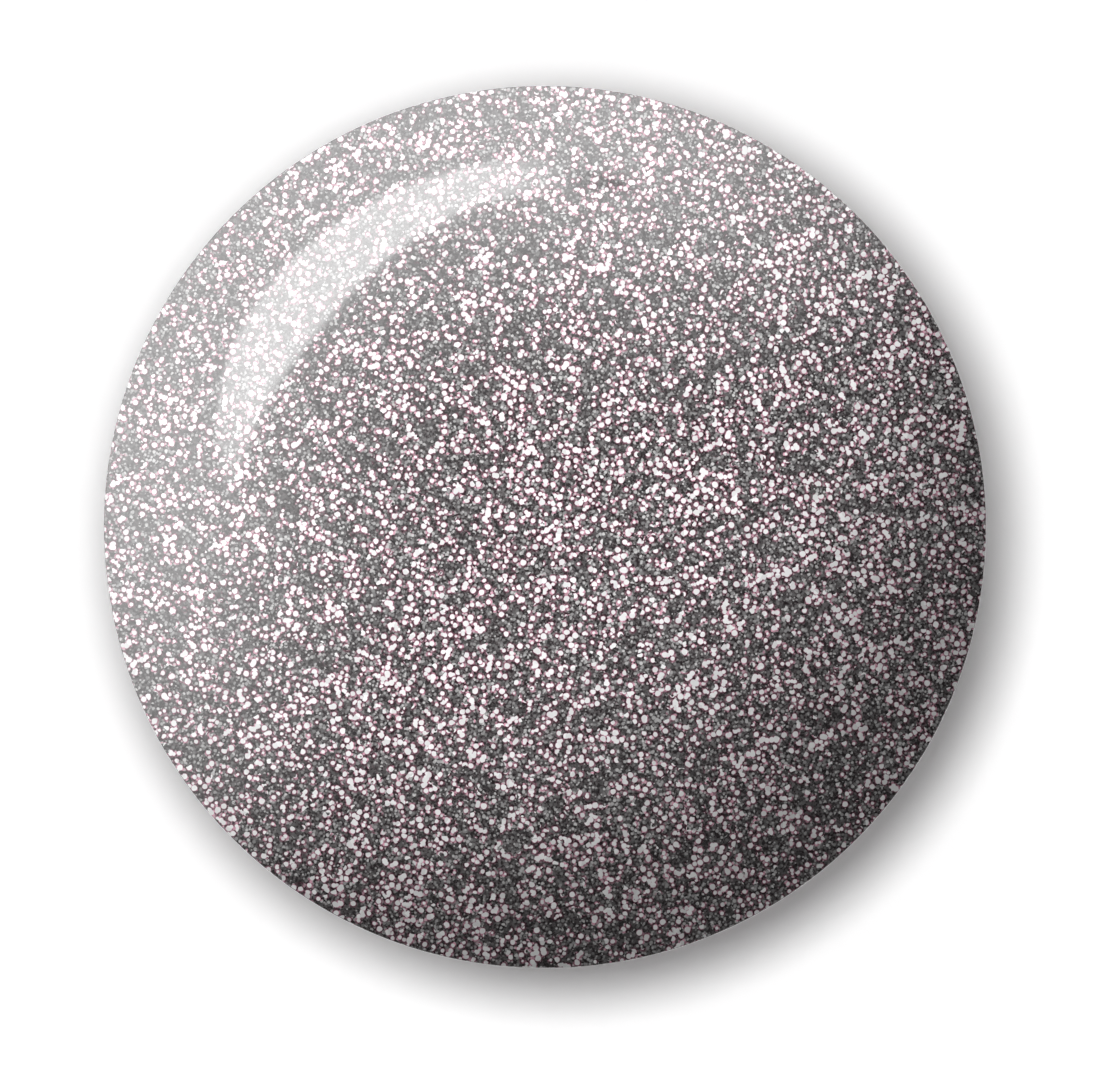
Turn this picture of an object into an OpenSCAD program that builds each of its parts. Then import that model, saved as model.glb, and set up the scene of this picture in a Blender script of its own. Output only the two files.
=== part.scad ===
// Nail polish bottle: a round glass bottle with a screw closure that carries the brush,
// under a pull-off overcap whose top is a low glitter dome.
// Millimetres, +Z up, origin at the middle of the foot.

/* [Glass bottle] */
// Outside diameter of the glass body and of the overcap
body_d = 30; // [26:0.5:40]
// Height of the glass body, from the foot to the shoulder ledge
body_h = 31; // [26:0.5:45]
// Thickness of the glass side wall
body_wall = 2.2; // [1.6:0.1:3.2]
// Thickness of the glass under the ball track
base_t = 5; // [3.5:0.1:7]
// Thickness of the glass under the shoulder ledge
ledge_t = 2.4; // [1.8:0.1:3.5]
// Rise of the inside floor from the ball track to the middle
kick_h = 1.4; // [0.8:0.1:2]
// Radius of the ball track's corner, between the inside floor and wall
track_r = 3.6; // [3:0.1:4.5]
// Rounding of the heel, between the foot and the outside wall
heel_r = 3; // [1.5:0.1:4]
// Rounding of the outside edge of the shoulder ledge
shoulder_r = 1.6; // [0.6:0.1:2]
// Rounding of the cavity under the shoulder
cavity_shoulder_r = 4; // [2:0.1:5]
// Width of the flat ring that the bottle stands on
foot_w = 2; // [1:0.1:3]
// Depth of the label recess
recess_h = 0.8; // [0.4:0.1:1.2]

/* [Neck and thread] */
// Outside diameter of the neck between the threads
neck_d = 11.4; // [10.6:0.1:13.8]
// Bore of the neck
neck_bore_d = 7.8; // [6.6:0.1:9.2]
// Height of the neck above the shoulder ledge
neck_h = 11.3; // [10:0.1:14]
// Height of the thread ridge
thread_h = 0.8; // [0.6:0.05:1]
// Width of the thread ridge at its crest
thread_crest = 0.55; // [0.4:0.05:0.7]
// Rise of the thread in one turn
thread_pitch = 2.117; // [2:0.001:2.6]
// Turns of thread on the neck
neck_turns = 2; // [1.5:0.25:2]
// Turns of thread inside the closure
closure_turns = 1.25; // [1:0.25:1.25]
// From the rim down to the middle of the top thread
thread_drop = 1.9; // [1.7:0.1:2.5]

/* [Closure] */
// Wall of the closure around its threaded bore
closure_wall = 0.65; // [0.6:0.05:1.2]
// Height of the ribbed skirt at the foot of the closure
skirt_h = 4.4; // [3:0.1:5]
// Number of grip flutes around the skirt
flutes = 36; // [24:2:48]
// Radius of one grip flute
flute_r = 0.35; // [0.2:0.05:0.4]
// Height of the closure above the stem's hub
closure_top_h = 4; // [2:0.1:10]
// Wall around the stem's socket
socket_wall = 1.35; // [1:0.05:2]
// Thickness of the metal grip cover
cover_t = 0.4; // [0.3:0.05:0.6]
// Thickness of the foam sealing wad
wad_t = 1.2; // [0.8:0.1:2]

/* [Brush] */
// Diameter of the brush stem
stem_d = 4.6; // [3.8:0.1:5.6]
// Wall of the stem around the tuft
stem_wall = 0.55; // [0.45:0.05:0.8]
// Thickness of the stem's flange
flange_t = 1.4; // [1:0.1:2]
// Diameter of the hub that snaps into the closure
hub_d = 5.2; // [4.2:0.1:6.4]
// Length of the hub
hub_l = 4; // [3:0.1:6]
// Length of the bristles below the stem
tuft_l = 14.3; // [10:0.1:18]
// Widening of the tuft at its tip, as a share
tuft_flare = 1.14; // [1:0.01:1.15]
// From the tip of the bristles down to the middle of the inside floor
tip_gap = 1.8; // [1:0.1:4]
// Number of bristles
strands = 300; // [300:10:400]
// Thickness of the staple wire
staple_t = 0.4; // [0.3:0.05:0.6]
// Height of the staple
staple_h = 1.3; // [1:0.1:2]
// How far each end of the staple bites into the stem
staple_bite = 0.2; // [0.1:0.05:0.3]

/* [Overcap] */
// Wall of the glitter shell
shell_wall = 1.4; // [1:0.1:2]
// Rise of the dome over the skirt
dome_rise = 5.5; // [4:0.1:7]
// Rounding between the dome and the skirt
dome_edge_r = 0.4; // [0.3:0.05:1.2]
// Wall of the liner's grip tube
liner_wall = 1; // [0.8:0.1:1.4]
// Height of the liner's outer ring inside the shell
liner_ring_h = 4.8; // [3:0.1:8]
// Thickness of the liner's floor
liner_floor_t = 1.2; // [0.8:0.1:2]
// Number of grip ribs in the tube, and of webs around it
grip_ribs = 6; // [4:1:10]
// Room between the top of the liner's tube and the underside of the dome
headroom = 3; // [0.5:0.1:8]

/* [Contents] */
// From the shoulder ledge down to the lacquer's surface
headspace = 3.4; // [2.5:0.1:12]
// Diameter of one mixing ball
ball_d = 4; // [3:0.1:5]
// Thickness of the label
label_t = 0.15; // [0.1:0.05:0.3]

/* [Fits] */
// Gap on each side of a piece that slides or turns in another
run_fit = 0.05; // [0.03:0.01:0.1]
// Gap on each side of a piece that is glued or pressed in place
glue_fit = 0.03; // [0.02:0.01:0.05]
// Gap above a seat where two moving pieces meet
seat_gap = 0.3; // [0.1:0.05:0.5]
// Gap around the thread crests
thread_gap = 0.25; // [0.2:0.05:0.35]
// Gap between the lacquer and the glass
film_gap = 0.05; // [0.02:0.01:0.1]
// Gap around the balls and around the brush in the lacquer
wet_gap = 0.25; // [0.15:0.05:0.4]
// Least gap between two bristles
strand_gap = 0.02; // [0.01:0.005:0.05]
// Gap around the label in its recess
label_gap = 0.5; // [0.2:0.1:2]
// Gap between the shoulder ledge and what stands over it
ledge_gap = 0.5; // [0.3:0.05:1]

/* [Hidden] */
$fn = 96;

// Small roundings that the glass and the moulded edges share
edge_r = 0.5;
throat_r = 1.5;
neck_fillet_r = 0.7;
// Steps in a quarter of a small rounding, and along the dome
round_steps = 10;
dome_steps = 40;
// How far a joined feature runs into the solid that carries it
bite = 0.2;

// Glass
body_r = body_d / 2;
cavity_r = body_r - body_wall;
ceiling_z = body_h - ledge_t;
ball_track = cavity_r - track_r;
neck_r = neck_d / 2;
bore_r = neck_bore_d / 2;
rim_z = body_h + neck_h;
recess_r = body_r - heel_r - foot_w;
floor_z = base_t + kick_h;

// Thread: the ridge narrows from its root to its crest by this much a side for each unit of height
flank = 0.375;
thread_r = neck_r + thread_h;
neck_thread_z = rim_z - thread_drop - neck_turns * thread_pitch;
thread_bore_r = thread_r + thread_gap;
closure_crest_r = neck_r + thread_gap;
thread_step = 7.5;
thread_fade = 45;
// Where the closure's thread starts along the neck's own spiral, in degrees
closure_thread_start = 135;

// Stack of the closure, from the rim upwards
flange_z = rim_z + wad_t;
hub_z = flange_z + flange_t;
socket_z = hub_z + run_fit;
hub_top_z = hub_z + hub_l;
core_top_z = hub_top_z + closure_top_h;
closure_z = body_h + ledge_gap + seat_gap;
core_r = thread_bore_r + closure_wall;
cover_in_r = core_r + glue_fit;
cover_r = cover_in_r + cover_t;
cover_z = closure_z + skirt_h + run_fit;
cover_top_z = core_top_z + cover_t;
hub_r = hub_d / 2;
socket_r = hub_r + run_fit;
post_r = socket_r + socket_wall;
flange_r = closure_crest_r - run_fit - bite / 2;
wad_r = neck_r - run_fit * 2;

// Brush
stem_r = stem_d / 2;
tip_z = floor_z + tip_gap;
stem_end_z = tip_z + tuft_l;
tuft_socket_r = stem_r - stem_wall;
tuft_r = tuft_socket_r - run_fit;
// The tuft's backing slice sits this far up in the stem, under the staple
slice_depth = 1.5;
slice_t = 0.8;
slice_z = stem_end_z + slice_depth;
staple_z = slice_z + slice_t;
tuft_socket_top_z = staple_z + staple_h + wet_gap;
staple_w = 2 * (tuft_socket_r + staple_bite);
// Bristles stand on a sunflower spiral, whose nearest neighbours are this share of its pitch apart
golden_angle = 137.508;
spiral_nearest = 1.546;
strand_ring_r = 0.93 * tuft_r;
strand_d = spiral_nearest * strand_ring_r / sqrt(strands) - strand_gap;
// The tip of the tuft is rounded by this much from its middle to its edge
tip_round = 1.4;

// Overcap
overcap_z = body_h + ledge_gap;
shell_in_r = body_r - shell_wall;
bead_h = 0.6;
bead_z = overcap_z + 2 * edge_r;
bead_depth = 0.3;
liner_z = bead_z + bead_h + bite;
liner_bore_r = cover_r + seat_gap;
liner_tube_r = liner_bore_r + liner_wall;
liner_ceiling_z = cover_top_z + seat_gap;
liner_top_z = liner_ceiling_z + liner_wall;
liner_r = shell_in_r - glue_fit;
liner_ring_t = 0.9;
rib_w = 0.8;
dome_r = (body_r * body_r + dome_rise * dome_rise) / (2 * dome_rise);
dome_under_r = dome_r - shell_wall;
dome_centre_z = liner_top_z + headroom - sqrt(dome_under_r * dome_under_r - liner_tube_r * liner_tube_r);

// Contents
fill_z = body_h - headspace;
label_r = recess_r - label_gap;
ball_r = ball_d / 2;
ball_z = base_t + ball_r + film_gap + run_fit;
well_r = stem_r + wet_gap;
well_z = tip_z - 2 * wet_gap;

// Points of an arc about centre c, from angle a to angle b
function arc(c, r, a, b, steps = round_steps) =
    [for (i = [0:steps]) let (t = a + (b - a) * i / steps) c + r * [cos(t), sin(t)]];

// The inside floor: an S-curve from the middle down to the ball track
function kick(inset) =
    [for (i = [0:round_steps]) let (t = i / round_steps)
        [ball_track * t, base_t + inset + kick_h * (1 + cos(180 * t)) / 2]];

// Outline of the cavity from the floor to above the rim, drawn in by inset
function cavity(inset = 0) = concat(
    kick(inset),
    arc([ball_track, base_t + track_r], track_r - inset, -90, 0),
    arc([cavity_r - cavity_shoulder_r, ceiling_z - cavity_shoulder_r], cavity_shoulder_r - inset, 0, 90),
    arc([bore_r + throat_r, ceiling_z + throat_r], throat_r + inset, 270, 180),
    arc([bore_r + edge_r, rim_z - edge_r], edge_r + inset, 180, 90),
    [[bore_r + edge_r, rim_z + edge_r], [0, rim_z + edge_r]]);

// Outline of the outside of the glass, from the label recess to the rim
function glass_outside() = concat(
    [[0, recess_h], [recess_r, recess_h], [recess_r, 0]],
    arc([body_r - heel_r, heel_r], heel_r, -90, 0),
    arc([body_r - shoulder_r, body_h - shoulder_r], shoulder_r, 0, 90),
    arc([neck_r + neck_fillet_r, body_h + neck_fillet_r], neck_fillet_r, 270, 180),
    arc([neck_r - edge_r, rim_z - edge_r], edge_r, 0, 90),
    [[0, rim_z]]);

// Half the dome's outline from the lower edge of the skirt to the axis, drawn in by inset
function overcap_outline(inset, foot_r) =
    let (f = max(dome_edge_r - inset, 0.1),
         dome = dome_r - inset,
         edge_x = body_r - inset - f,
         edge_z = dome_centre_z + sqrt(pow(dome - f, 2) - edge_x * edge_x),
         meet = atan2(edge_z - dome_centre_z, edge_x))
    concat(
        arc([body_r - inset - foot_r, overcap_z + foot_r], foot_r, -90, 0),
        arc([edge_x, edge_z], f, 0, meet),
        arc([0, dome_centre_z], dome, meet, 90, dome_steps));

// Spiral ridge along the thread, between two radii, that fades into its root at both ends.
// It starts at angle start, and z0 is its middle height at angle 0.
module ridge(root_r, crest_r, z0, start, turns) {
    steps = ceil(360 * turns / thread_step);
    fade_steps = thread_fade / thread_step;
    rings = [for (i = [0:steps])
        let (a = start + 360 * turns * i / steps,
             z = z0 + thread_pitch * a / 360,
             rise = min(1, 0.1 + i / fade_steps, 0.1 + (steps - i) / fade_steps),
             top_r = root_r + (crest_r - root_r) * rise,
             crest_w = thread_crest / 2,
             root_w = crest_w + abs(crest_r - root_r) * flank)
        [for (p = [[root_r, -root_w], [root_r, root_w], [top_r, crest_w], [top_r, -crest_w]])
            [p[0] * cos(a), p[0] * sin(a), z + p[1]]]];
    outward = crest_r > root_r;
    sides = [for (i = [0:steps - 1], k = [0:3])
        let (a = 4 * i + k, b = 4 * i + (k + 1) % 4, c = a + 4, d = b + 4)
        each outward ? [[a, d, b], [a, c, d]] : [[a, b, d], [a, d, c]]];
    first = [[0, 1, 2], [0, 2, 3]];
    last = [for (t = [[0, 2, 1], [0, 3, 2]]) t + 4 * steps * [1, 1, 1]];
    ends = [for (t = concat(first, last)) outward ? t : [t[0], t[2], t[1]]];
    polyhedron([for (ring = rings) each ring], concat(sides, ends));
}

module glass_bottle() color([0.92, 0.94, 0.94, 0.4]) {
    rotate_extrude() difference() {
        polygon(glass_outside());
        polygon(cavity());
    }
    ridge(neck_r - bite, thread_r, neck_thread_z, 0, neck_turns);
}

// The polish itself, with a well that the brush moves in and a ring that the balls roll in
module lacquer() color([0.42, 0.40, 0.41]) rotate_extrude() difference() {
    intersection() {
        polygon(cavity(film_gap));
        square([body_r, fill_z]);
    }
    translate([0, well_z]) square([well_r, fill_z]);
    translate([ball_track, ball_z]) circle(ball_r + wet_gap);
    translate([ball_track - ball_r - wet_gap, 0]) square([ball_d + 2 * wet_gap, ball_z]);
}

module base_label() color([0.93, 0.92, 0.92])
    translate([0, 0, recess_h - label_t]) cylinder(r = label_r, h = label_t);

// Balls lie on opposite sides of the track
module mixing_ball(side) color([0.75, 0.76, 0.78])
    translate([side * ball_track, 0, ball_z]) sphere(ball_r);

module sealing_wad() color([0.96, 0.96, 0.94]) translate([0, 0, rim_z]) difference() {
    cylinder(r = wad_r, h = wad_t);
    translate([0, 0, -edge_r]) cylinder(r = stem_r + wet_gap, h = wad_t + 2 * edge_r);
}

module brush_stem() color([0.12, 0.12, 0.13]) rotate_extrude() difference() {
    polygon(concat(
        [[0, stem_end_z], [stem_r - edge_r, stem_end_z], [stem_r, stem_end_z + 2 * edge_r]],
        [[stem_r, flange_z], [flange_r, flange_z], [flange_r, hub_z], [hub_r, hub_z]],
        [[hub_r, hub_top_z - edge_r], [hub_r - edge_r, hub_top_z], [0, hub_top_z]]));
    square([tuft_socket_r, tuft_socket_top_z]);
}

module brush_staple() color([0.80, 0.70, 0.45])
    translate([-staple_w / 2, -staple_t / 2, staple_z]) cube([staple_w, staple_t, staple_h]);

// The spiral's order keeps bristles from crossing as they spread a little to a rounded tip
module brush_bristles() color([0.16, 0.15, 0.15]) {
    translate([0, 0, slice_z]) cylinder(r = tuft_r, h = slice_t);
    for (k = [0:strands - 1]) {
        share = sqrt((k + 0.5) / strands);
        turn = k * golden_angle;
        at = strand_ring_r * share * [cos(turn), sin(turn)];
        bottom_z = tip_z + tip_round * share * share;
        strand([at[0], at[1], slice_z + slice_t / 2], [at[0] * tuft_flare, at[1] * tuft_flare, bottom_z], turn);
    }
}

// One three-sided bristle from its root to its tip
module strand(root, tip, turn) {
    r = strand_d / 2;
    corners = [for (i = [0:2]) let (a = turn + 120 * i) r * [cos(a), sin(a), 0]];
    sides = [for (i = [0:2]) let (j = (i + 1) % 3) each [[i, j, i + 3], [j, j + 3, i + 3]]];
    polyhedron(
        concat([for (c = corners) root + c], [for (c = corners) tip + c]),
        concat([[0, 2, 1], [3, 4, 5]], sides));
}

// Threaded moulding: bore and thread for the neck, socket for the stem's hub, and a pocket open at the top
module screw_closure() color([0.10, 0.10, 0.11]) {
    difference() {
        rotate_extrude() difference() {
            union() {
                translate([0, closure_z]) square([core_r, core_top_z - closure_z]);
                translate([0, closure_z]) square([cover_r, skirt_h]);
            }
            translate([0, closure_z - edge_r]) square([thread_bore_r, socket_z - closure_z + edge_r]);
            square([socket_r, hub_top_z + run_fit]);
            translate([post_r, hub_z + socket_wall]) square([core_r - closure_wall - post_r, core_top_z]);
        }
        for (i = [0:flutes - 1]) rotate(360 * i / flutes)
            translate([cover_r, 0, closure_z - edge_r]) cylinder(r = flute_r, h = skirt_h - edge_r, $fn = 24);
    }
    ridge(thread_bore_r + bite, closure_crest_r, neck_thread_z - thread_pitch / 2, closure_thread_start,
          closure_turns);
}

module grip_cover() color([0.72, 0.72, 0.74]) rotate_extrude() difference() {
    polygon(concat(
        [[0, cover_z], [cover_r, cover_z]],
        arc([cover_r - edge_r, cover_top_z - edge_r], edge_r, 0, 90),
        [[0, cover_top_z]]));
    square([cover_in_r, core_top_z]);
}

// Tube that grips the cover, with a floor, an outer ring that is glued into the shell, and webs between
module overcap_liner() color([0.20, 0.20, 0.21]) {
    rotate_extrude() difference() {
        union() {
            translate([0, liner_z]) square([liner_tube_r, liner_top_z - liner_z]);
            translate([0, liner_z]) square([liner_r, liner_floor_t]);
            translate([liner_r - liner_ring_t, liner_z]) square([liner_ring_t, liner_ring_h]);
        }
        square([liner_bore_r, liner_ceiling_z]);
    }
    for (i = [0:grip_ribs - 1]) rotate(360 * (i + 0.5) / grip_ribs) {
        grip_rib();
        web();
    }
}

// A low rib down the inside of the tube, with a round nose that slides on the cover
module grip_rib() {
    nose_r = (liner_bore_r + bite - cover_r - run_fit) / 2;
    translate([cover_r + run_fit + nose_r, 0, liner_z + liner_floor_t])
        cylinder(r = nose_r, h = liner_ceiling_z + bite - liner_z - liner_floor_t, $fn = 24);
}

// A flat web between the tube and the outer ring, a little lower than the ring
module web()
    translate([liner_tube_r - bite, -rib_w / 2, liner_z + liner_floor_t - bite])
        cube([liner_r - liner_ring_t - liner_tube_r + 2 * bite, rib_w, liner_ring_h - liner_floor_t]);

// Glitter shell: the dome and its skirt, with a bead inside that holds the liner
module overcap_shell() color([0.55, 0.52, 0.53]) rotate_extrude() {
    difference() {
        polygon(concat(overcap_outline(0, edge_r), [[0, overcap_z]]));
        polygon(concat([[0, overcap_z - edge_r], [shell_in_r, overcap_z - edge_r]],
                       overcap_outline(shell_wall, 0)));
    }
    translate([shell_in_r - bead_depth, bead_z]) square([bead_depth + bite, bead_h]);
}

glass_bottle();
lacquer();
base_label();
mixing_ball(1);  // mixing_ball_1
mixing_ball(-1);  // mixing_ball_2
sealing_wad();
brush_stem();
brush_staple();
brush_bristles();
screw_closure();
grip_cover();
overcap_liner();
overcap_shell();
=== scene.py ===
"""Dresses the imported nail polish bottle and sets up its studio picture."""

from __future__ import annotations

import logging
import math
import random
from dataclasses import dataclass, field
from enum import Enum
from typing import Any

import bpy
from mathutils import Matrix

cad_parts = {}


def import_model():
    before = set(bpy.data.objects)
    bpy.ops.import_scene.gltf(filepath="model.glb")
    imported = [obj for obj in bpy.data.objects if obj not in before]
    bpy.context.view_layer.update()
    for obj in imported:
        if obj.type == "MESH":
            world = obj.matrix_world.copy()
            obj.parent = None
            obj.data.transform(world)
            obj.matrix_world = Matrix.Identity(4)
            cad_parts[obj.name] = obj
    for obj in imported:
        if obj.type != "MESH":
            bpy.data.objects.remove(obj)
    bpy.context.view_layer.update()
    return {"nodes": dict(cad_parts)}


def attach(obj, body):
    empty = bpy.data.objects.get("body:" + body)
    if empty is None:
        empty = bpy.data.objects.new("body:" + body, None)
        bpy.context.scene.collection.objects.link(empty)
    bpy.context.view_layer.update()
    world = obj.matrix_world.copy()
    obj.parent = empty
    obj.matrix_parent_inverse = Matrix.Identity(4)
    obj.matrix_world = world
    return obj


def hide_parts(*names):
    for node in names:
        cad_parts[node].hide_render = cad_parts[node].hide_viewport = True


LOG = logging.getLogger("polish_bottle")

MM = 0.001
# Width of the picture, in pixels.
IMAGE_WIDTH = 1109

# Points closer than this become one point, in metres.
MERGE = 0.0005 * MM
# Part of a noise texture's range that holds most of its values.
NOISE_MIDDLE = (0.3, 0.7)
# A face that points up or down by more than this is read from above.
UP_TILT = 0.7

# Azimuth, lower edge and upper edge of the softbox strip, in degrees.
STRIP_EDGES = (
    (76.0, 26.6, 27.4), (82.0, 25.0, 28.9), (90.0, 23.4, 29.6), (100.0, 23.4, 30.8),
    (112.0, 23.4, 33.1), (124.0, 23.4, 35.2), (136.0, 23.4, 36.8), (146.0, 24.2, 36.8),
    (154.0, 25.6, 36.0), (162.0, 28.0, 35.4), (170.0, 31.0, 34.8), (177.0, 33.6, 34.4))

Point = tuple[float, float]
Triple = tuple[float, float, float]
Colour = Triple

WHITE: Colour = (1.0, 1.0, 1.0)


class Slot(Enum):
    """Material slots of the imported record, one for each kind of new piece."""

    GLASS = "glass"
    LACQUER = "lacquer"
    LABEL = "label"
    STEEL = "steel"
    FOAM = "foam"
    STEM = "stem"
    NYLON = "nylon"
    COVER = "cover"
    GLITTER = "glitter"


class Body(Enum):
    """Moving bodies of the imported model."""

    BOTTLE = "bottle"
    BALL_1 = "ball_1"
    BALL_2 = "ball_2"
    WAD = "wad"
    BRUSH = "brush"
    CLOSURE = "closure"
    OVERCAP = "overcap"


class Linking(Enum):
    """How a lamp treats the pieces that are linked to it."""

    ONLY = "INCLUDE"
    NEVER = "EXCLUDE"


def rgba(colour: Colour) -> tuple[float, float, float, float]:
    """Returns the colour with full alpha."""
    return (*colour, 1.0)


def arc(centre: Point, radius: float, start: float, end: float, steps: int) -> list[Point]:
    """Points along an arc in the plane of a turned profile.

    Args:
        centre: radius and height of the arc's centre, in mm.
        radius: radius of the arc, in mm.
        start: first angle in degrees, from the outward direction towards up.
        end: last angle in degrees.
        steps: number of straight steps.

    Returns:
        The points as (radius, height) pairs in mm.
    """
    angles = [math.radians(start + (end - start) * i / steps) for i in range(steps + 1)]
    return [(centre[0] + radius * math.cos(a), centre[1] + radius * math.sin(a)) for a in angles]


class Graph:
    """Adds nodes to one node tree and wires them."""

    def __init__(self, tree: bpy.types.NodeTree) -> None:
        """Keeps the tree that the nodes go into."""
        self.tree = tree

    def feed(self, socket: bpy.types.NodeSocket, value: Any) -> None:
        """Links a socket to another, or sets its plain value.

        Args:
            socket: the input to fill.
            value: an output socket, or a value for the input itself.
        """
        if isinstance(value, bpy.types.NodeSocket):
            self.tree.links.new(value, socket)
        else:
            socket.default_value = value

    def add(self, kind: str, inputs: dict[Any, Any] | None = None, **settings: Any) -> bpy.types.Node:
        """Adds one node.

        Args:
            kind: the node's type name.
            inputs: what feeds each input, by its name or number.
            settings: the node's own settings.

        Returns:
            The new node.
        """
        node = self.tree.nodes.new(kind)
        for name, value in settings.items():
            setattr(node, name, value)
        for key, value in (inputs or {}).items():
            self.feed(node.inputs[key], value)
        return node

    def math(self, operation: str, a: Any, b: Any = 0.0, clamp: bool = False) -> bpy.types.NodeSocket:
        """Adds a Math node and returns its value."""
        return self.add("ShaderNodeMath", {0: a, 1: b}, operation=operation, use_clamp=clamp).outputs[0]

    def scaled(self, value: Any, factor: Any, offset: Any) -> bpy.types.NodeSocket:
        """Adds a Math node and returns the value times the factor, plus the offset."""
        inputs = {0: value, 1: factor, 2: offset}
        return self.add("ShaderNodeMath", inputs, operation="MULTIPLY_ADD").outputs[0]

    def vector(self, operation: str, a: Any, b: Any = (0.0, 0.0, 0.0)) -> bpy.types.NodeSocket:
        """Adds a Vector Math node and returns its vector, or its number if it gives one."""
        node = self.add("ShaderNodeVectorMath", {0: a, 1: b}, operation=operation)
        return node.outputs["Value" if operation in ("LENGTH", "DOT_PRODUCT") else "Vector"]

    def axes(self, place: Any) -> Any:
        """Adds a Separate XYZ node and returns its three values."""
        return self.add("ShaderNodeSeparateXYZ", {0: place}).outputs

    def mix(self, factor: Any, a: Any, b: Any) -> bpy.types.NodeSocket:
        """Adds a Mix node for plain numbers and returns its value."""
        return self.add("ShaderNodeMix", {0: factor, 2: a, 3: b}).outputs[0]

    def blend(self, factor: Any, a: Any, b: Any, how: str = "MIX") -> bpy.types.NodeSocket:
        """Adds a colour Mix node and returns its colour."""
        node = self.add("ShaderNodeMix", {0: factor, 6: a, 7: b}, data_type="RGBA", blend_type=how)
        return node.outputs[2]

    def span(self, value: Any, low: float, high: float, to_low: float = 0.0, to_high: float = 1.0,
             smooth: bool = False) -> bpy.types.NodeSocket:
        """Adds a Map Range node.

        Args:
            value: what to map.
            low: the value that maps to to_low.
            high: the value that maps to to_high.
            to_low: result at low.
            to_high: result at high.
            smooth: eases both ends.

        Returns:
            The mapped value.
        """
        inputs = {"Value": value, "From Min": low, "From Max": high, "To Min": to_low, "To Max": to_high}
        kind = "SMOOTHSTEP" if smooth else "LINEAR"
        return self.add("ShaderNodeMapRange", inputs, interpolation_type=kind).outputs[0]

    def noise(self, place: Any, scale: float, detail: float = 2.0,
              rough: float = 0.5) -> bpy.types.NodeSocket:
        """Adds a Noise texture and returns its value."""
        inputs = {"Vector": place, "Scale": scale, "Detail": detail, "Roughness": rough}
        return self.add("ShaderNodeTexNoise", inputs).outputs[0]

    def cells(self, place: Any, scale: float) -> tuple[bpy.types.NodeSocket, list[bpy.types.NodeSocket]]:
        """Adds a Voronoi texture.

        Args:
            place: where the texture is read.
            scale: cells per unit.

        Returns:
            The distance to the nearest cell's point, and three random values of that cell.
        """
        node = self.add("ShaderNodeTexVoronoi", {"Vector": place, "Scale": scale}, voronoi_dimensions="2D")
        parts = self.add("ShaderNodeSeparateColor", {0: node.outputs["Color"]})
        return node.outputs["Distance"], list(parts.outputs)

    def millimetres(self, stretch: Triple = (1.0, 1.0, 1.0)) -> bpy.types.NodeSocket:
        """Object coordinates in millimetres.

        Args:
            stretch: how much each axis is multiplied.

        Returns:
            The place.
        """
        where = self.add("ShaderNodeTexCoord").outputs["Object"]
        scale = tuple(s / MM for s in stretch)
        return self.add("ShaderNodeMapping", {"Vector": where, "Scale": scale}).outputs[0]

    def unrolled(self, flat: Any) -> bpy.types.NodeSocket:
        """Places on a turned piece as if it were unrolled, in millimetres.

        Args:
            flat: 1 where the piece is read from above, 0 where it is read around the axis.

        Returns:
            The place, with its third part left at 0.
        """
        place = self.millimetres()
        x, y, z = self.axes(place)
        radius = self.vector("LENGTH", self.vector("MULTIPLY", place, (1.0, 1.0, 0.0)))
        around = self.math("MULTIPLY", self.math("ARCTAN2", y, x), radius)
        inputs = {0: self.mix(flat, around, x), 1: self.mix(flat, z, y)}
        return self.add("ShaderNodeCombineXYZ", inputs).outputs[0]

    def facing_up(self) -> bpy.types.NodeSocket:
        """Returns 1 where the face points more up or down than sideways."""
        normal = self.add("ShaderNodeNewGeometry").outputs["True Normal"]
        return self.math("GREATER_THAN", self.math("ABSOLUTE", self.axes(normal)[2]), UP_TILT)


def new_group(name: str, inputs: dict[str, str], outputs: dict[str, str]) -> tuple[Graph, Any, Any]:
    """Starts a shader node group.

    Args:
        name: the group's name.
        inputs: socket type of each input, by name.
        outputs: socket type of each output, by name.

    Returns:
        The graph of the group, its input node's outputs and its output node's inputs.
    """
    tree = bpy.data.node_groups.new(name, "ShaderNodeTree")
    for direction, sockets in (("INPUT", inputs), ("OUTPUT", outputs)):
        for socket, kind in sockets.items():
            tree.interface.new_socket(name=socket, in_out=direction, socket_type=kind)
    graph = Graph(tree)
    return graph, graph.add("NodeGroupInput").outputs, graph.add("NodeGroupOutput").inputs


def new_material(name: str) -> tuple[bpy.types.Material, Graph]:
    """Starts a material with no nodes.

    Args:
        name: the material's name.

    Returns:
        The material and the graph of its nodes.
    """
    made = bpy.data.materials.new(name)
    made.use_nodes = True
    made.node_tree.nodes.clear()
    return made, Graph(made.node_tree)


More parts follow.
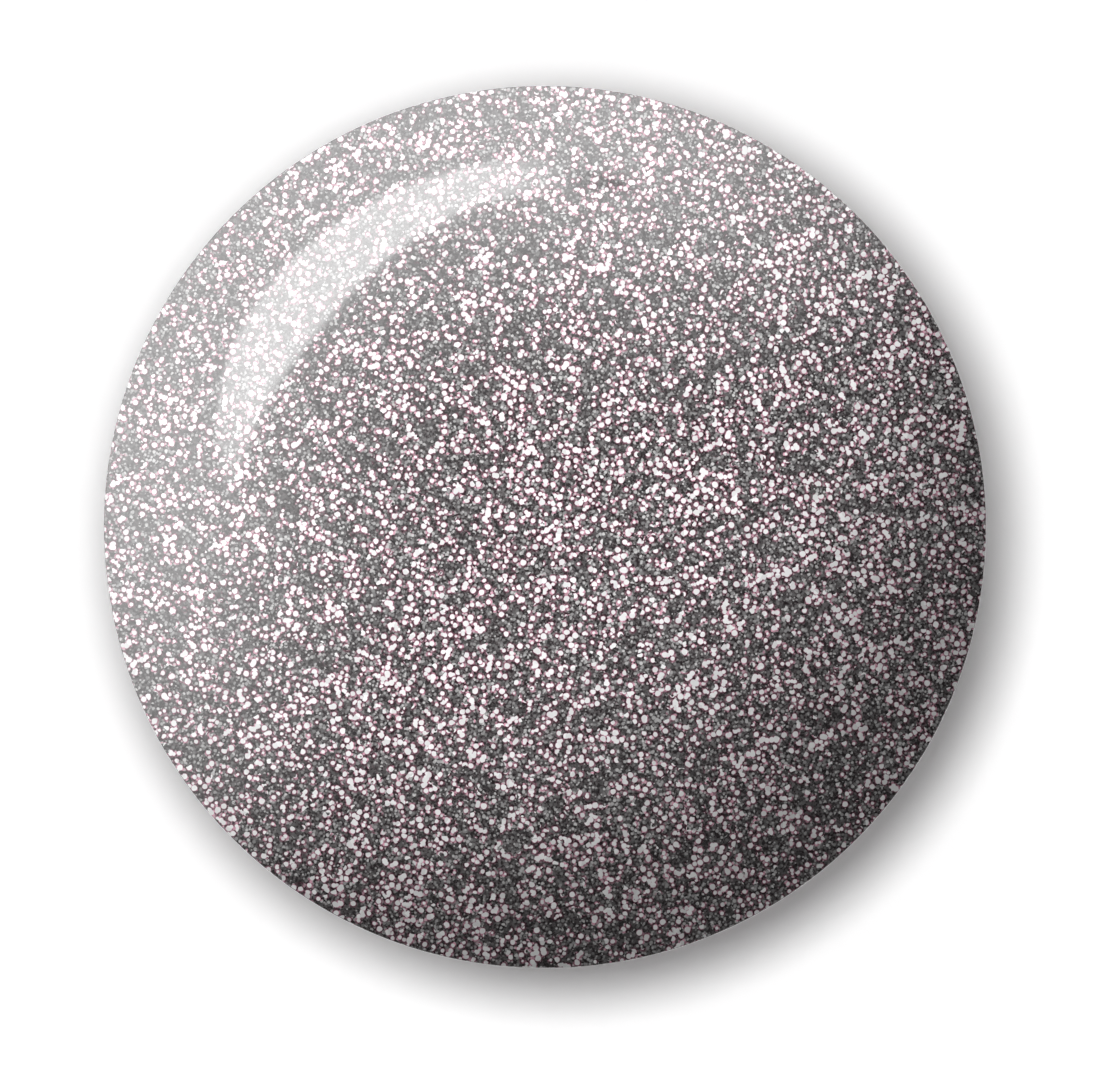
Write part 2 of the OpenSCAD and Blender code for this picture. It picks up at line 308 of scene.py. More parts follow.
@dataclass(frozen=True)
class FlakeField:
    """Glitter as a shader node group: bright flakes and dim specks in a dark, grainy lacquer.

    The cells are per millimetre, and the other sizes are in millimetres. The tilt turns a place out of the
    plane for the noises, and the layer shift moves each layer of discs by its own amount.
    """

    tilt: Triple = (0.6, 0.8, 0.4)
    layer_shift: Point = (31.7, -17.3)
    flake_cells: tuple[float, ...] = (3.3, 3.7, 4.2)
    flake_radius: float = 0.044
    flake_spread: float = 0.060
    flake_edge: float = 0.013
    fringe: Colour = (0.003, 0.0, 0.001)
    halo: float = 0.10
    halo_core: float = 0.2
    halo_tint: Colour = (1.24, 0.62, 0.80)
    speck_cells: tuple[float, ...] = (6.1, 8.3)
    speck_radius: float = 0.018
    speck_spread: float = 0.046
    speck_edge: float = 0.018
    speck_fall: float = 1.8
    speck_tones: tuple[Colour, Colour] = ((0.034, 0.031, 0.032), (0.64, 0.63, 0.63))
    grain_cells: float = 11.0
    grain_rough: float = 0.65
    grain_span: Point = (0.36, 0.66)
    crowd_cells: float = 1.5
    crowd: float = 0.22
    warp_cells: float = 7.0
    warp: float = 0.045
    white: Colour = (0.98, 0.98, 0.98)
    off_white: Colour = (0.755, 0.755, 0.755)
    dark: Colour = (0.0215, 0.0165, 0.018)
    grey: Colour = (0.139, 0.127, 0.130)

    def build(self) -> bpy.types.NodeTree:
        """Returns the node group, made once."""
        found = bpy.data.node_groups.get("glitter_flakes")
        return found if found else self._make()

    def _make(self) -> bpy.types.NodeTree:
        """Wires the group: grain, then dim specks, then bright flakes with a tinted ring around each.

        Returns:
            The node group.
        """
        graph, given, result = new_group(
            "glitter_flakes",
            {"Place": "NodeSocketVector", "Cover": "NodeSocketFloat"},
            {"Color": "NodeSocketColor", "Flake": "NodeSocketFloat"})
        turned = {"Vector": given["Place"], "Rotation": self.tilt}
        tilted = graph.add("ShaderNodeMapping", turned).outputs[0]
        place = self._warped(graph, given["Place"], tilted)
        crowd = graph.span(graph.noise(tilted, self.crowd_cells), *NOISE_MIDDLE, -self.crowd, self.crowd)
        chance = graph.math("ADD", given["Cover"], crowd)
        grain = graph.noise(tilted, self.grain_cells, detail=1.0, rough=self.grain_rough)
        ground = graph.blend(graph.span(grain, *self.grain_span), rgba(self.dark), rgba(self.grey))

        for cells in self.speck_cells:
            inside, dice = self._discs(graph, place, cells, self.speck_radius, self.speck_spread)
            speck = graph.span(inside, -self.speck_edge, self.speck_edge, smooth=True)
            bright = graph.math("POWER", dice[1], self.speck_fall)
            tone = graph.blend(bright, *(rgba(c) for c in self.speck_tones))
            ground = graph.blend(speck, ground, tone)

        layers = []
        for cells in self.flake_cells:
            inside, dice = self._discs(graph, place, cells, self.flake_radius, self.flake_spread)
            missing = graph.math("LESS_THAN", graph.math("ADD", dice[0], chance), 1.0)
            layers.append(graph.math("SUBTRACT", inside, missing))
        inside = layers[0]
        for layer in layers[1:]:
            inside = graph.math("MAXIMUM", inside, layer)
        shade = graph.blend(1.0, ground, rgba(self.halo_tint), how="MULTIPLY")
        ring = graph.span(inside, -self.halo, -self.halo_core * self.halo, smooth=True)
        ground = graph.blend(ring, ground, shade)
        masks = [graph.span(graph.math("ADD", inside, shift), -self.flake_edge, self.flake_edge, smooth=True)
                 for shift in self.fringe]
        tone = graph.blend(dice[1], rgba(self.off_white), rgba(self.white))
        parts = [graph.add("ShaderNodeSeparateColor", {0: colour}).outputs for colour in (ground, tone)]
        mixed = [graph.mix(mask, low, high) for mask, low, high in zip(masks, *parts)]
        colour = graph.add("ShaderNodeCombineColor", dict(enumerate(mixed))).outputs[0]
        graph.feed(result["Color"], colour)
        graph.feed(result["Flake"], masks[1])
        return graph.tree

    def _warped(self, graph: Graph, place: Any, tilted: Any) -> bpy.types.NodeSocket:
        """Shifts each place a little, so that the flakes are chips and not round discs.

        Args:
            graph: the group's graph.
            place: where the texture is read, in mm.
            tilted: the same place, turned out of the plane for noise.

        Returns:
            The shifted place.
        """
        noise = graph.add("ShaderNodeTexNoise", {"Vector": tilted, "Scale": self.warp_cells, "Detail": 1.0})
        shift = graph.vector("MULTIPLY", noise.outputs["Color"], (self.warp, self.warp, 0.0))
        return graph.vector("ADD", place, shift)

    def _discs(self, graph: Graph, place: Any, cells: float, radius: float,
               spread: float) -> tuple[Any, list[Any]]:
        """Scatters discs of mixed size.

        Args:
            graph: the group's graph.
            place: where the texture is read, in mm.
            cells: discs per mm along each axis, which also tells the layers apart.
            radius: smallest radius.
            spread: how much larger the largest disc is.

        Returns:
            How far inside the nearest disc the place is, and that disc's three random values.
        """
        shift = (self.layer_shift[0] * cells, self.layer_shift[1] * cells, 0.0)
        apart = {"Vector": place, "Location": shift, "Rotation": (0.0, 0.0, cells)}
        reach, dice = graph.cells(graph.add("ShaderNodeMapping", apart).outputs[0], cells)
        size = graph.scaled(dice[2], spread, radius)
        return graph.math("SUBTRACT", size, graph.math("DIVIDE", reach, cells)), dice


@dataclass(frozen=True)
class MouldTexture:
    """Fine moulded or rubbed texture as a shader node group: a mottle of tone and a small relief."""

    coarse_cells: float = 0.35
    fine_cells: float = 9.0
    fine_share: float = 0.3
    scuff_cells: float = 1.7
    scuff_span: Point = (0.35, 0.65)

    def build(self) -> bpy.types.NodeTree:
        """Returns the node group, made once."""
        found = bpy.data.node_groups.get("mould_texture")
        return found if found else self._make()

    def _make(self) -> bpy.types.NodeTree:
        """Wires the group: slow mottle for the tone, fine noise for the relief, scuffs for the gloss.

        Returns:
            The node group.
        """
        graph, given, result = new_group(
            "mould_texture",
            {"Place": "NodeSocketVector", "Dark": "NodeSocketColor", "Light": "NodeSocketColor",
             "Smooth": "NodeSocketFloat", "Rough": "NodeSocketFloat"},
            {"Color": "NodeSocketColor", "Roughness": "NodeSocketFloat", "Height": "NodeSocketFloat"})
        mottle = graph.span(graph.noise(given["Place"], self.coarse_cells, detail=4.0), *NOISE_MIDDLE)
        fine = graph.noise(given["Place"], self.fine_cells, detail=3.0, rough=0.6)
        tone = graph.scaled(mottle, 1.0 - self.fine_share, graph.math("MULTIPLY", fine, self.fine_share))
        scuff = graph.span(graph.noise(given["Place"], self.scuff_cells, detail=5.0), *self.scuff_span)
        graph.feed(result["Color"], graph.blend(tone, given["Dark"], given["Light"]))
        graph.feed(result["Roughness"], graph.mix(scuff, given["Smooth"], given["Rough"]))
        graph.feed(result["Height"], fine)
        return graph.tree


class Finish:
    """Base of the finishes: each one makes its material once."""

    name: str = "finish"

    def material(self) -> bpy.types.Material:
        """Makes the material, once.

        Returns:
            The material.
        """
        found = bpy.data.materials.get(self.name)
        if found:
            return found
        made, graph = new_material(self.name)
        surface = graph.add("ShaderNodeBsdfPrincipled")
        output = graph.add("ShaderNodeOutputMaterial")
        self.wire(graph, surface)
        graph.feed(output.inputs["Surface"], self.shown(graph, surface))
        return made

    def shown(self, graph: Graph, surface: bpy.types.Node) -> bpy.types.NodeSocket:
        """Returns the shader that the material puts out."""
        return surface.outputs[0]

    def wire(self, graph: Graph, surface: bpy.types.Node) -> None:
        """Fills the material's shader.

        Args:
            graph: the material's graph.
            surface: its Principled shader.
        """
        raise NotImplementedError

    def relief(self, graph: Graph, surface: bpy.types.Node, height: Any, depth: float,
               strength: float = 1.0) -> None:
        """Bumps the surface.

        Args:
            graph: the material's graph.
            surface: its Principled shader.
            height: relief from 0 to 1.
            depth: how deep the relief is, in mm.
            strength: share of the relief that shows.
        """
        bump = graph.add("ShaderNodeBump", {"Height": height, "Distance": depth * MM, "Strength": strength})
        graph.feed(surface.inputs["Normal"], bump.outputs[0])


@dataclass(frozen=True)
class GlitterCoat(Finish):
    """Glitter under a clear, glossy coat."""

    name: str = "glitter_coat"
    cover: float = 0.298
    roughness: float = 0.40
    ground_dulling: float = 0.12
    coat_roughness: float = 0.08
    coat_ior: float = 2.3

    def wire(self, graph: Graph, surface: bpy.types.Node) -> None:
        """Fills the shader with flakes for the colour and gloss, under the coat.

        Args:
            graph: the material's graph.
            surface: its Principled shader.
        """
        flakes = graph.add("ShaderNodeGroup", node_tree=FlakeField().build())
        graph.feed(flakes.inputs["Place"], graph.unrolled(graph.facing_up()))
        graph.feed(flakes.inputs["Cover"], self.cover)
        graph.feed(surface.inputs["Base Color"], flakes.outputs["Color"])
        dull = self.roughness + self.ground_dulling
        gloss = graph.span(flakes.outputs["Flake"], 0.0, 1.0, dull, self.roughness)
        graph.feed(surface.inputs["Roughness"], gloss)
        surface.inputs["Specular IOR Level"].default_value = 0.0
        surface.inputs["Coat Weight"].default_value = 1.0
        surface.inputs["Coat Roughness"].default_value = self.coat_roughness
        surface.inputs["Coat IOR"].default_value = self.coat_ior


@dataclass(frozen=True)
class BottleGlass(Finish):
    """Clear flint glass with the faint waviness of a moulded bottle."""

    name: str = "bottle_glass"
    clear: Colour = (0.985, 0.995, 0.992)
    tinted: Colour = (0.965, 0.985, 0.98)
    tint_cells: float = 0.15
    passed: Colour = (0.93, 0.94, 0.94)
    ior: float = 1.51
    ripple_cells: float = 0.22
    ripple_depth: float = 0.05
    ripple_strength: float = 0.25

    def wire(self, graph: Graph, surface: bpy.types.Node) -> None:
        """Fills the shader with a faint tint and a slow ripple.

        Args:
            graph: the material's graph.
            surface: its Principled shader.
        """
        place = graph.millimetres()
        cloud = graph.noise(place, self.tint_cells, detail=1.0)
        tint = graph.blend(cloud, rgba(self.clear), rgba(self.tinted))
        graph.feed(surface.inputs["Base Color"], tint)
        surface.inputs["Roughness"].default_value = 0.0
        surface.inputs["IOR"].default_value = self.ior
        surface.inputs["Transmission Weight"].default_value = 1.0
        ripple = graph.noise(place, self.ripple_cells, detail=1.0)
        self.relief(graph, surface, ripple, self.ripple_depth, self.ripple_strength)

    def shown(self, graph: Graph, surface: bpy.types.Node) -> bpy.types.NodeSocket:
        """Lets the light of the lamps through the glass to what it holds.

        Args:
            graph: the material's graph.
            surface: its Principled shader.

        Returns:
            The glass, which is clear to shadow rays.
        """
        shadow = graph.add("ShaderNodeLightPath").outputs["Is Shadow Ray"]
        clear = graph.add("ShaderNodeBsdfTransparent", {"Color": rgba(self.passed)})
        mixed = graph.add("ShaderNodeMixShader", {0: shadow, 1: surface.outputs[0], 2: clear.outputs[0]})
        return mixed.outputs[0]


@dataclass(frozen=True)
class SatinAluminium(Finish):
    """Satin anodised aluminium, turned so that its grain runs round the piece."""

    name: str = "satin_aluminium"
    dark: Colour = (0.62, 0.61, 0.62)
    light: Colour = (0.80, 0.79, 0.80)
    stretch: Triple = (0.05, 0.05, 14.0)
    gloss: Point = (0.24, 0.36)
    depth: float = 0.004
    strength: float = 0.5

    def wire(self, graph: Graph, surface: bpy.types.Node) -> None:
        """Fills the shader with fine rings of tone and gloss.

        Args:
            graph: the material's graph.
            surface: its Principled shader.
        """
        rings = graph.noise(graph.millimetres(self.stretch), 1.0, detail=3.0, rough=0.6)
        graph.feed(surface.inputs["Base Color"], graph.blend(rings, rgba(self.dark), rgba(self.light)))
        surface.inputs["Metallic"].default_value = 1.0
        graph.feed(surface.inputs["Roughness"], graph.span(rings, *NOISE_MIDDLE, *self.gloss))
        self.relief(graph, surface, rings, self.depth, self.strength)


@dataclass(frozen=True)
class Moulded(Finish):
    """A plain material with the shared moulded texture: plastic, foam, paper or metal."""

    name: str = "moulded"
    dark: Colour = (0.02, 0.02, 0.022)
    light: Colour = (0.04, 0.04, 0.043)
    smooth: float = 0.30
    rough: float = 0.45
    metallic: float = 0.0
    depth: float = 0.01
    stretch: Triple = (1.0, 1.0, 1.0)

    def wire(self, graph: Graph, surface: bpy.types.Node) -> None:
        """Fills the shader from the moulded texture.

        Args:
            graph: the material's graph.
            surface: its Principled shader.
        """
        texture = graph.add("ShaderNodeGroup", node_tree=MouldTexture().build())
        graph.feed(texture.inputs["Place"], graph.millimetres(self.stretch))
        graph.feed(texture.inputs["Dark"], rgba(self.dark))
        graph.feed(texture.inputs["Light"], rgba(self.light))
        graph.feed(texture.inputs["Smooth"], self.smooth)
        graph.feed(texture.inputs["Rough"], self.rough)
        graph.feed(surface.inputs["Base Color"], texture.outputs["Color"])
        graph.feed(surface.inputs["Roughness"], texture.outputs["Roughness"])
        surface.inputs["Metallic"].default_value = self.metallic
        self.relief(graph, surface, texture.outputs["Height"], self.depth)


@dataclass(frozen=True)
class WetBrush(Finish):
    """A brush piece that polish clings to below a ragged line, in streaks along the brush."""

    name: str = "wet_brush"
    dark: Colour = (0.018, 0.017, 0.018)
    light: Colour = (0.05, 0.046, 0.045)
    wet_below: float = 26.2
    ragged: float = 2.2
    film: Point = (1.0, 1.0)
    cover: float = 0.30
    dry_roughness: float = 0.40
    wet_roughness: float = 0.16
    coat_roughness: float = 0.05
    line_soft: float = 1.2
    film_span: Point = (0.42, 0.58)
    streak_cells: float = 5.5
    streak_stretch: Triple = (1.0, 1.0, 0.06)
    streak_depth: float = 0.02
    streak_strength: float = 0.4

    def wire(self, graph: Graph, surface: bpy.types.Node) -> None:
        """Fills the shader with the dry colour above the line and a film of glitter below it.

        Args:
            graph: the material's graph.
            surface: its Principled shader.
        """
        streaks = graph.noise(graph.millimetres(self.streak_stretch), self.streak_cells, detail=3.0)
        line = graph.scaled(streaks, self.ragged, graph.axes(graph.millimetres())[2])
        below = graph.span(line, self.wet_below, self.wet_below + self.line_soft, 1.0, 0.0, smooth=True)
        wet = graph.math("MULTIPLY", below, graph.span(streaks, *self.film_span, *self.film, smooth=True))
        flakes = graph.add("ShaderNodeGroup", node_tree=FlakeField().build())
        graph.feed(flakes.inputs["Place"], graph.unrolled(graph.facing_up()))
        graph.feed(flakes.inputs["Cover"], self.cover)
        dry = graph.blend(graph.span(streaks, *NOISE_MIDDLE), rgba(self.dark), rgba(self.light))
        graph.feed(surface.inputs["Base Color"], graph.blend(wet, dry, flakes.outputs["Color"]))
        gloss = graph.span(wet, 0.0, 1.0, self.dry_roughness, self.wet_roughness)
        graph.feed(surface.inputs["Roughness"], gloss)
        graph.feed(surface.inputs["Coat Weight"], wet)
        surface.inputs["Coat Roughness"].default_value = self.coat_roughness
        self.relief(graph, surface, streaks, self.streak_depth, self.streak_strength)


class Bench:
    """Modelling steps that the pieces share."""

    @staticmethod
    def start(name: str) -> bpy.types.Object:
        """Starts a piece as one vertex at the origin, in edit mode.

        Args:
            name: the piece's name.

        Returns:
            The new object.
        """
        bpy.ops.object.select_all(action="DESELECT")
        bpy.ops.mesh.primitive_plane_add(size=MM, location=(0.0, 0.0, 0.0))
        piece = bpy.context.active_object
        piece.name = piece.data.name = name
        bpy.ops.object.mode_set(mode="EDIT")
        bpy.ops.mesh.select_all(action="SELECT")
        bpy.ops.mesh.merge(type="CENTER")
        return piece

    @classmethod
    def turn(cls, name: str, profile: list[Point], steps: int = 160,
             crease: float = 32.0) -> bpy.types.Object:
        """Turns a profile about the bottle's axis, as on a lathe.

        Args:
            name: the piece's name.
            profile: (radius, height) points in mm, along the outline.
            steps: facets around the axis.
            crease: angle in degrees past which an edge stays sharp.

        Returns:
            The turned piece.
        """
        piece = cls.start(name)
        bpy.ops.transform.translate(value=(profile[0][0] * MM, 0.0, profile[0][1] * MM))
        for (r0, z0), (r1, z1) in zip(profile, profile[1:]):
            bpy.ops.mesh.extrude_vertices_move(
                TRANSFORM_OT_translate={"value": ((r1 - r0) * MM, 0.0, (z1 - z0) * MM)})
        bpy.ops.mesh.select_all(action="SELECT")
        bpy.ops.mesh.spin(steps=steps, angle=math.tau, center=(0.0, 0.0, 0.0), axis=(0.0, 0.0, 1.0))
        cls.close(piece, crease)
        return piece

    @staticmethod
    def close(piece: bpy.types.Object, crease: float) -> None:
        """Merges doubled points, turns the faces outwards and smooths the shading.

        Args:
            piece: the object, in edit mode.
            crease: angle in degrees past which an edge stays sharp.
        """
        bpy.ops.mesh.select_all(action="SELECT")
        bpy.ops.mesh.remove_doubles(threshold=MERGE)
        bpy.ops.mesh.normals_make_consistent(inside=False)
        bpy.ops.object.mode_set(mode="OBJECT")
        bpy.ops.object.shade_smooth_by_angle(angle=math.radians(crease))

    @classmethod
    def copy_of(cls, node: bpy.types.Object, name: str, crease: float = 32.0) -> bpy.types.Object:
        """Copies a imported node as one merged, smooth mesh.

        Args:
            node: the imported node.
            name: the copy's name.
            crease: angle in degrees past which an edge stays sharp.

        Returns:
            The copy.
        """
        bpy.ops.object.select_all(action="DESELECT")
        piece = bpy.data.objects.new(name, node.data.copy())
        piece.data.name = name
        bpy.context.scene.collection.objects.link(piece)
        piece.select_set(True)
        bpy.context.view_layer.objects.active = piece
        bpy.ops.mesh.customdata_custom_splitnormals_clear()
        bpy.ops.object.mode_set(mode="EDIT")
        bpy.ops.mesh.select_all(action="SELECT")
        bpy.ops.mesh.remove_doubles(threshold=MERGE)
        bpy.ops.object.mode_set(mode="OBJECT")
        bpy.ops.object.shade_smooth_by_angle(angle=math.radians(crease))
        return piece

    @staticmethod
    def fit(piece: bpy.types.Object, body: Body, node: str, slot: Slot, finish: Finish) -> None:
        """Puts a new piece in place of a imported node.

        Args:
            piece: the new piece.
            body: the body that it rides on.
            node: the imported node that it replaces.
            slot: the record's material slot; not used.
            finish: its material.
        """
        piece.data.materials.clear()
        piece.data.materials.append(finish.material())
        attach(piece, body.value)
        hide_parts(node)
        LOG.info("%s: %d faces, for %s", piece.name, len(piece.data.polygons), node)

    @staticmethod
    def paint(node: bpy.types.Object, finish: Finish) -> None:
        """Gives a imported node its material.

        Args:
            node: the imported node, which keeps its shape.
            finish: its material.
        """
        if node.material_slots:
            node.material_slots[0].material = finish.material()
        else:
            node.data.materials.append(finish.material())
        LOG.info("%s: packed shape, %s", node.name, finish.name)


@dataclass
class Overcap:
    """The pull-off overcap: glitter shell and liner. Sizes in mm."""

    nodes: dict[str, bpy.types.Object]
    radius: float = 15.0
    foot_z: float = 31.5
    wall: float = 1.4
    dome_rise: float = 5.5
    top_z: float = 61.009
    edge_r: float = 0.06
    inner_edge_r: float = 0.05
    foot_r: float = 0.5
    bead_z: Point = (32.5, 33.1)
    bead_depth: float = 0.3
    bead_slope: float = 0.15
    facets: int = 224

    @property
    def dome_r(self) -> float:
        """Radius of the dome's sphere."""
        return (self.radius ** 2 + self.dome_rise ** 2) / (2 * self.dome_rise)

    @property
    def dome_z(self) -> float:
        """Height of the middle of the dome's sphere."""
        return self.top_z - self.dome_r

    def half_outline(self, inset: float) -> list[Point]:
        """Outline of the dome from its top to the top of the skirt.

        Args:
            inset: how far the outline lies inside the outer face.

        Returns:
            The points, from the axis outwards.
        """
        edge = max(self.edge_r - inset, self.inner_edge_r)
        dome = self.dome_r - inset
        x = self.radius - inset - edge
        z = self.dome_z + math.sqrt((dome - edge) ** 2 - x ** 2)
        meet = math.degrees(math.atan2(z - self.dome_z, x))
        crown = arc((0.0, self.dome_z), dome, 90.0, meet, steps=48)
        return crown + arc((x, z), edge, meet, 0.0, steps=8)[1:]

    def build(self) -> None:
        """Models the shell and dresses both pieces."""
        inner = self.radius - self.wall
        corner = (self.radius - self.foot_r, self.foot_z + self.foot_r)
        foot = arc(corner, self.foot_r, 0.0, -90.0, steps=8)
        low, high = self.bead_z
        crest = inner - self.bead_depth
        bead = [(inner, self.foot_z), (inner, low), (crest, low + self.bead_slope),
                (crest, high - self.bead_slope), (inner, high)]
        profile = self.half_outline(0.0) + foot + bead + self.half_outline(self.wall)[::-1]
        shell = Bench.turn("glitter_shell", profile, self.facets)
        Bench.fit(shell, Body.OVERCAP, "overcap_shell", Slot.GLITTER, GlitterCoat())
        plastic = Moulded("liner_plastic", (0.012, 0.012, 0.013), (0.03, 0.03, 0.032))
        Bench.paint(self.nodes["overcap_liner"], plastic)


@dataclass
class Closure:
    """The screw closure under the overcap, with its metal grip cover. Sizes in mm."""

    nodes: dict[str, bpy.types.Object]
    cover_r: float = 7.83
    cover_in_r: float = 7.43
    cover_z: Point = (36.25, 53.3)
    top_t: float = 0.4
    edge_r: float = 0.7
    foot_edge: float = 0.15
    groove_z: tuple[float, ...] = (38.0, 38.8)
    groove_w: float = 0.3
    groove_depth: float = 0.12
    facets: int = 128

    def build(self) -> None:
        """Models the cover and dresses both pieces."""
        low, top = self.cover_z
        corner = (self.cover_r - self.edge_r, top - self.edge_r)
        outline = [(0.0, top)] + arc(corner, self.edge_r, 90.0, 0.0, steps=10)
        deep = self.cover_r - self.groove_depth
        for z in sorted(self.groove_z, reverse=True):
            outline += [(self.cover_r, z + self.groove_w / 2), (deep, z + self.groove_w / 4),
                        (deep, z - self.groove_w / 4), (self.cover_r, z - self.groove_w / 2)]
        outline += [(self.cover_r, low + self.foot_edge), (self.cover_r - self.foot_edge, low),
                    (self.cover_in_r, low), (self.cover_in_r, top - self.top_t), (0.0, top - self.top_t)]
        cover = Bench.turn("grip_sleeve", outline, self.facets)
        Bench.fit(cover, Body.CLOSURE, "grip_cover", Slot.COVER, SatinAluminium())
        Bench.paint(self.nodes["screw_closure"], Moulded("closure_plastic"))


@dataclass
class Brush:
    """The brush: stem, staple and bristles, with the wad that seals the neck. Sizes in mm."""

    nodes: dict[str, bpy.types.Object]
    stem_r: float = 2.3
    stem_z: float = 22.5
    stem_edge: float = 0.35
    stem_root_r: float = 0.5
    crimp_h: float = 2.0
    crimp_r: float = 0.42
    crimp_z: float = 0.6
    flange_r: float = 5.8
    flange_z: float = 43.5
    hub_r: float = 2.6
    hub_z: float = 44.9
    hub_top_z: float = 48.9
    socket_r: float = 1.75
    socket_top_z: float = 26.35
    socket_edge: float = 0.1
    slice_z: float = 24.0
    slice_t: float = 0.8
    slice_edge: float = 0.1
    tuft_r: float = 1.7
    tip_z: float = 8.2
    strands: int = 420
    strand_r: float = 0.055
    strand_tapers: tuple[float, ...] = (1.0, 0.98, 0.96, 0.92, 0.62)
    strand_inset: float = 1.6
    strand_seed: int = 11
    golden_turn: float = 137.508
    flare: float = 1.14
    bow: Point = (0.1, 0.22)
    tip_round: float = 1.5
    tip_scatter: float = 0.18
    wad_r: float = 5.6
    wad_bore_r: float = 2.55
    wad_z: Point = (42.3, 43.5)
    wad_swell: float = 0.12

    def build(self) -> None:
        """Models the stem, the bristles and the wad, and dresses them."""
        self.build_stem()
        self.build_bristles()
        self.build_wad()
        brass = Moulded("brass_wire", (0.62, 0.44, 0.20), (0.80, 0.62, 0.33),
                        smooth=0.22, rough=0.34, metallic=1.0, depth=0.006)
        Bench.paint(self.nodes["brush_staple"], brass)

    def build_stem(self) -> None:
        """Models the stem with its flange and hub."""
        edge, root, crimp, mouth = self.stem_edge, self.stem_root_r, self.crimp_r, self.socket_edge
        outline = [(0.0, self.hub_top_z), (self.hub_r - edge, self.hub_top_z),
                   (self.hub_r, self.hub_top_z - edge), (self.hub_r, self.hub_z)]
        outline += arc((self.flange_r - edge, self.hub_z - edge), edge, 90.0, 0.0, steps=5)
        outline += arc((self.flange_r - edge, self.flange_z + edge), edge, 0.0, -90.0, steps=5)
        outline += arc((self.stem_r + root, self.flange_z - root), root, 90.0, 180.0, steps=6)
        outline += [(self.stem_r, self.stem_z + self.crimp_h)]
        outline += arc((self.stem_r - crimp, self.stem_z + self.crimp_z), crimp, 0.0, -60.0, steps=6)
        outline += [(self.socket_r + mouth, self.stem_z), (self.socket_r, self.stem_z + mouth),
                    (self.socket_r, self.socket_top_z), (0.0, self.socket_top_z)]
        stem = Bench.turn("brush_rod", outline, steps=96)
        Bench.fit(stem, Body.BRUSH, "brush_stem", Slot.STEM, WetBrush("stem_plastic"))

    def build_bristles(self) -> None:
        """Models one strand, copies it over the tuft and joins the copies to their backing slice."""
        edge = self.slice_edge
        low, high = self.slice_z, self.slice_z + self.slice_t
        outline = [(0.0, high)] + arc((self.tuft_r - edge, high - edge), edge, 90.0, 0.0, steps=4)
        outline += arc((self.tuft_r - edge, low + edge), edge, 0.0, -90.0, steps=4) + [(0.0, low)]
        backing = Bench.turn("bristle_tuft", outline, steps=48)
        strand = self.build_strand()
        dice = random.Random(self.strand_seed)
        copies = []
        for k in range(self.strands):
            share = math.sqrt((k + 0.5) / self.strands)
            copies.append(self.place_strand(strand, share, k * math.radians(self.golden_turn), dice))
        bpy.data.objects.remove(strand)
        bpy.ops.object.select_all(action="DESELECT")
        for piece in (*copies, backing):
            piece.select_set(True)
        bpy.context.view_layer.objects.active = backing
        bpy.ops.object.join()
        nylon = WetBrush("wet_nylon", (0.010, 0.009, 0.009), (0.10, 0.088, 0.082),
                         wet_below=23.0, ragged=3.0, film=(0.08, 0.80), cover=0.24)
        Bench.fit(backing, Body.BRUSH, "brush_bristles", Slot.NYLON, nylon)

    def build_strand(self) -> bpy.types.Object:
        """Models one bristle that hangs down from the origin, one unit long, in bent and tapering steps.

        Returns:
            The strand, to be copied.
        """
        bpy.ops.object.select_all(action="DESELECT")
        bpy.ops.mesh.primitive_circle_add(vertices=4, radius=self.strand_r * MM, fill_type="NGON")
        strand = bpy.context.active_object
        bpy.ops.object.mode_set(mode="EDIT")
        bpy.ops.mesh.select_all(action="SELECT")
        step = -1.0 / len(self.strand_tapers)
        for taper in self.strand_tapers:
            bpy.ops.mesh.extrude_region_move(TRANSFORM_OT_translate={"value": (0.0, 0.0, step)})
            bpy.ops.transform.resize(value=(taper, taper, 1.0))
        Bench.close(strand, crease=60.0)
        return strand

    def place_strand(self, strand: bpy.types.Object, share: float, turn: float,
                     dice: random.Random) -> bpy.types.Object:
        """Copies the strand to its place in the tuft, with its own length, spread and bow.

        Args:
            strand: the model strand.
            share: distance from the tuft's middle, as a share of its radius.
            turn: direction from the tuft's middle, in radians.
            dice: seeded random numbers.

        Returns:
            The copy, with its place in its mesh.
        """
        copy = bpy.data.objects.new("strand", strand.data.copy())
        bpy.context.scene.collection.objects.link(copy)
        root_r = share * (self.tuft_r - self.strand_inset * self.strand_r)
        root_z = self.slice_z + 0.5 * self.slice_t
        short = abs(dice.gauss(0.0, self.tip_scatter))
        length = root_z - self.tip_z - self.tip_round * share ** 2 - short
        bow = dice.uniform(*self.bow)
        for point in copy.data.vertices:
            down = -point.co.z
            out = root_r * (1.0 + (self.flare - 1.0 + bow * (1.0 - down)) * down)
            point.co.x += out * math.cos(turn) * MM
            point.co.y += out * math.sin(turn) * MM
            point.co.z = (root_z - down * length) * MM
        return copy

    def build_wad(self) -> None:
        """Models the foam ring, a little swollen between its faces."""
        low, high = self.wad_z
        mid, half = (low + high) / 2, (high - low) / 2
        swell = self.wad_swell
        outer = [(self.wad_r - swell + swell * math.cos(t), mid + half * math.sin(t))
                 for t in (math.radians(a) for a in range(90, -91, -15))]
        inner = [(self.wad_bore_r + swell - swell * math.cos(t), mid + half * math.sin(t))
                 for t in (math.radians(a) for a in range(-90, 91, 15))]
        wad = Bench.turn("foam_wad", outer + inner + outer[:1], steps=96, crease=40.0)
        foam = Moulded("foam", (0.78, 0.77, 0.74), (0.90, 0.89, 0.87), smooth=0.75, rough=0.9, depth=0.05)
        Bench.fit(wad, Body.WAD, "sealing_wad", Slot.FOAM, foam)


